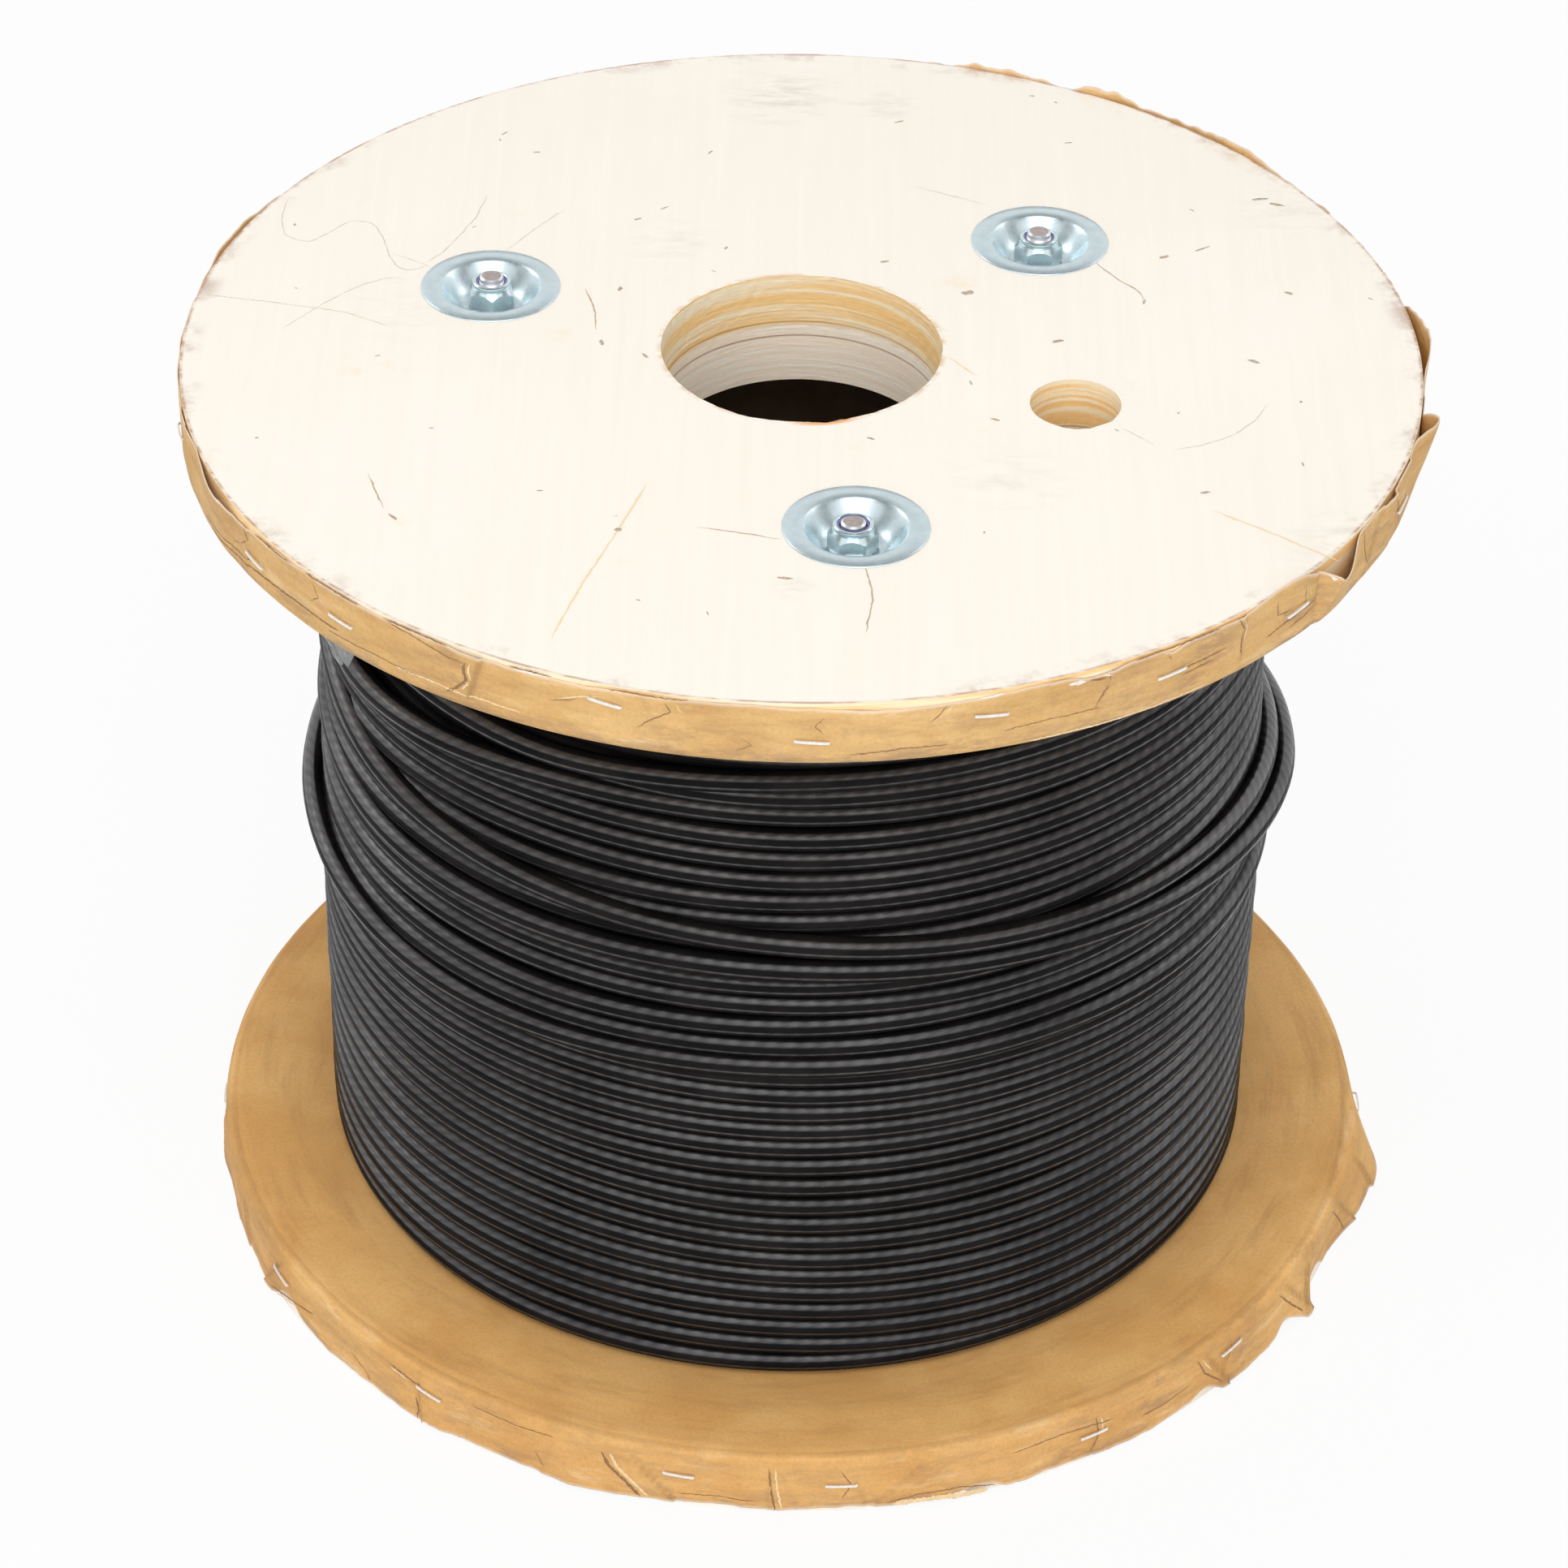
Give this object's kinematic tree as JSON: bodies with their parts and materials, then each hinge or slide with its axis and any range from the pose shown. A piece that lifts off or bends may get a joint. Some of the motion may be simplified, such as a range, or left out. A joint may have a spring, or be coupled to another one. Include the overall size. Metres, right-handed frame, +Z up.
{
  "type": "wooden cable drum",
  "caption": "Plywood cable drum standing on end, its paper-lined flanges held by tie bolts in dished washers, with black coated rope wound on its barrel.",
  "frame": {"origin": "middle of the drum's underside, on the spindle axis", "axes": "+Z up along the spindle, +X to the right and +Y to the back as the picture shows it"},
  "size_m": [0.3779, 0.3714, 0.3034],
  "materials": {
    "plywood": "pale rotary-cut veneer, unfinished, with bare ply edges in the holes",
    "barrel_board": "bent board, unfinished",
    "rope_coating": "black plastic coating with a fine ripple from the strands under it",
    "kraft_paper": "brown kraft paper, creased and torn",
    "zinc_plate": "bright zinc plate, slightly blue",
    "nut_ring": "violet plastic locking ring",
    "bolt_steel": "cut steel with rolled thread"
  },
  "bodies": {
    "root": {"top_flange": "plywood", "bottom_flange": "plywood", "top_core_disc": "plywood", "bottom_core_disc": "plywood", "barrel": "barrel_board", "rope_winding": "rope_coating", "top_paper_liner": "kraft_paper", "bottom_paper_liner": "kraft_paper", "top_dished_washers": "zinc_plate", "bottom_dished_washers": "zinc_plate", "lock_nuts": "zinc_plate", "lock_nut_rings": "nut_ring", "tie_bolt_1": "bolt_steel", "tie_bolt_2": "bolt_steel", "tie_bolt_3": "bolt_steel"}
  },
  "joints": []
}
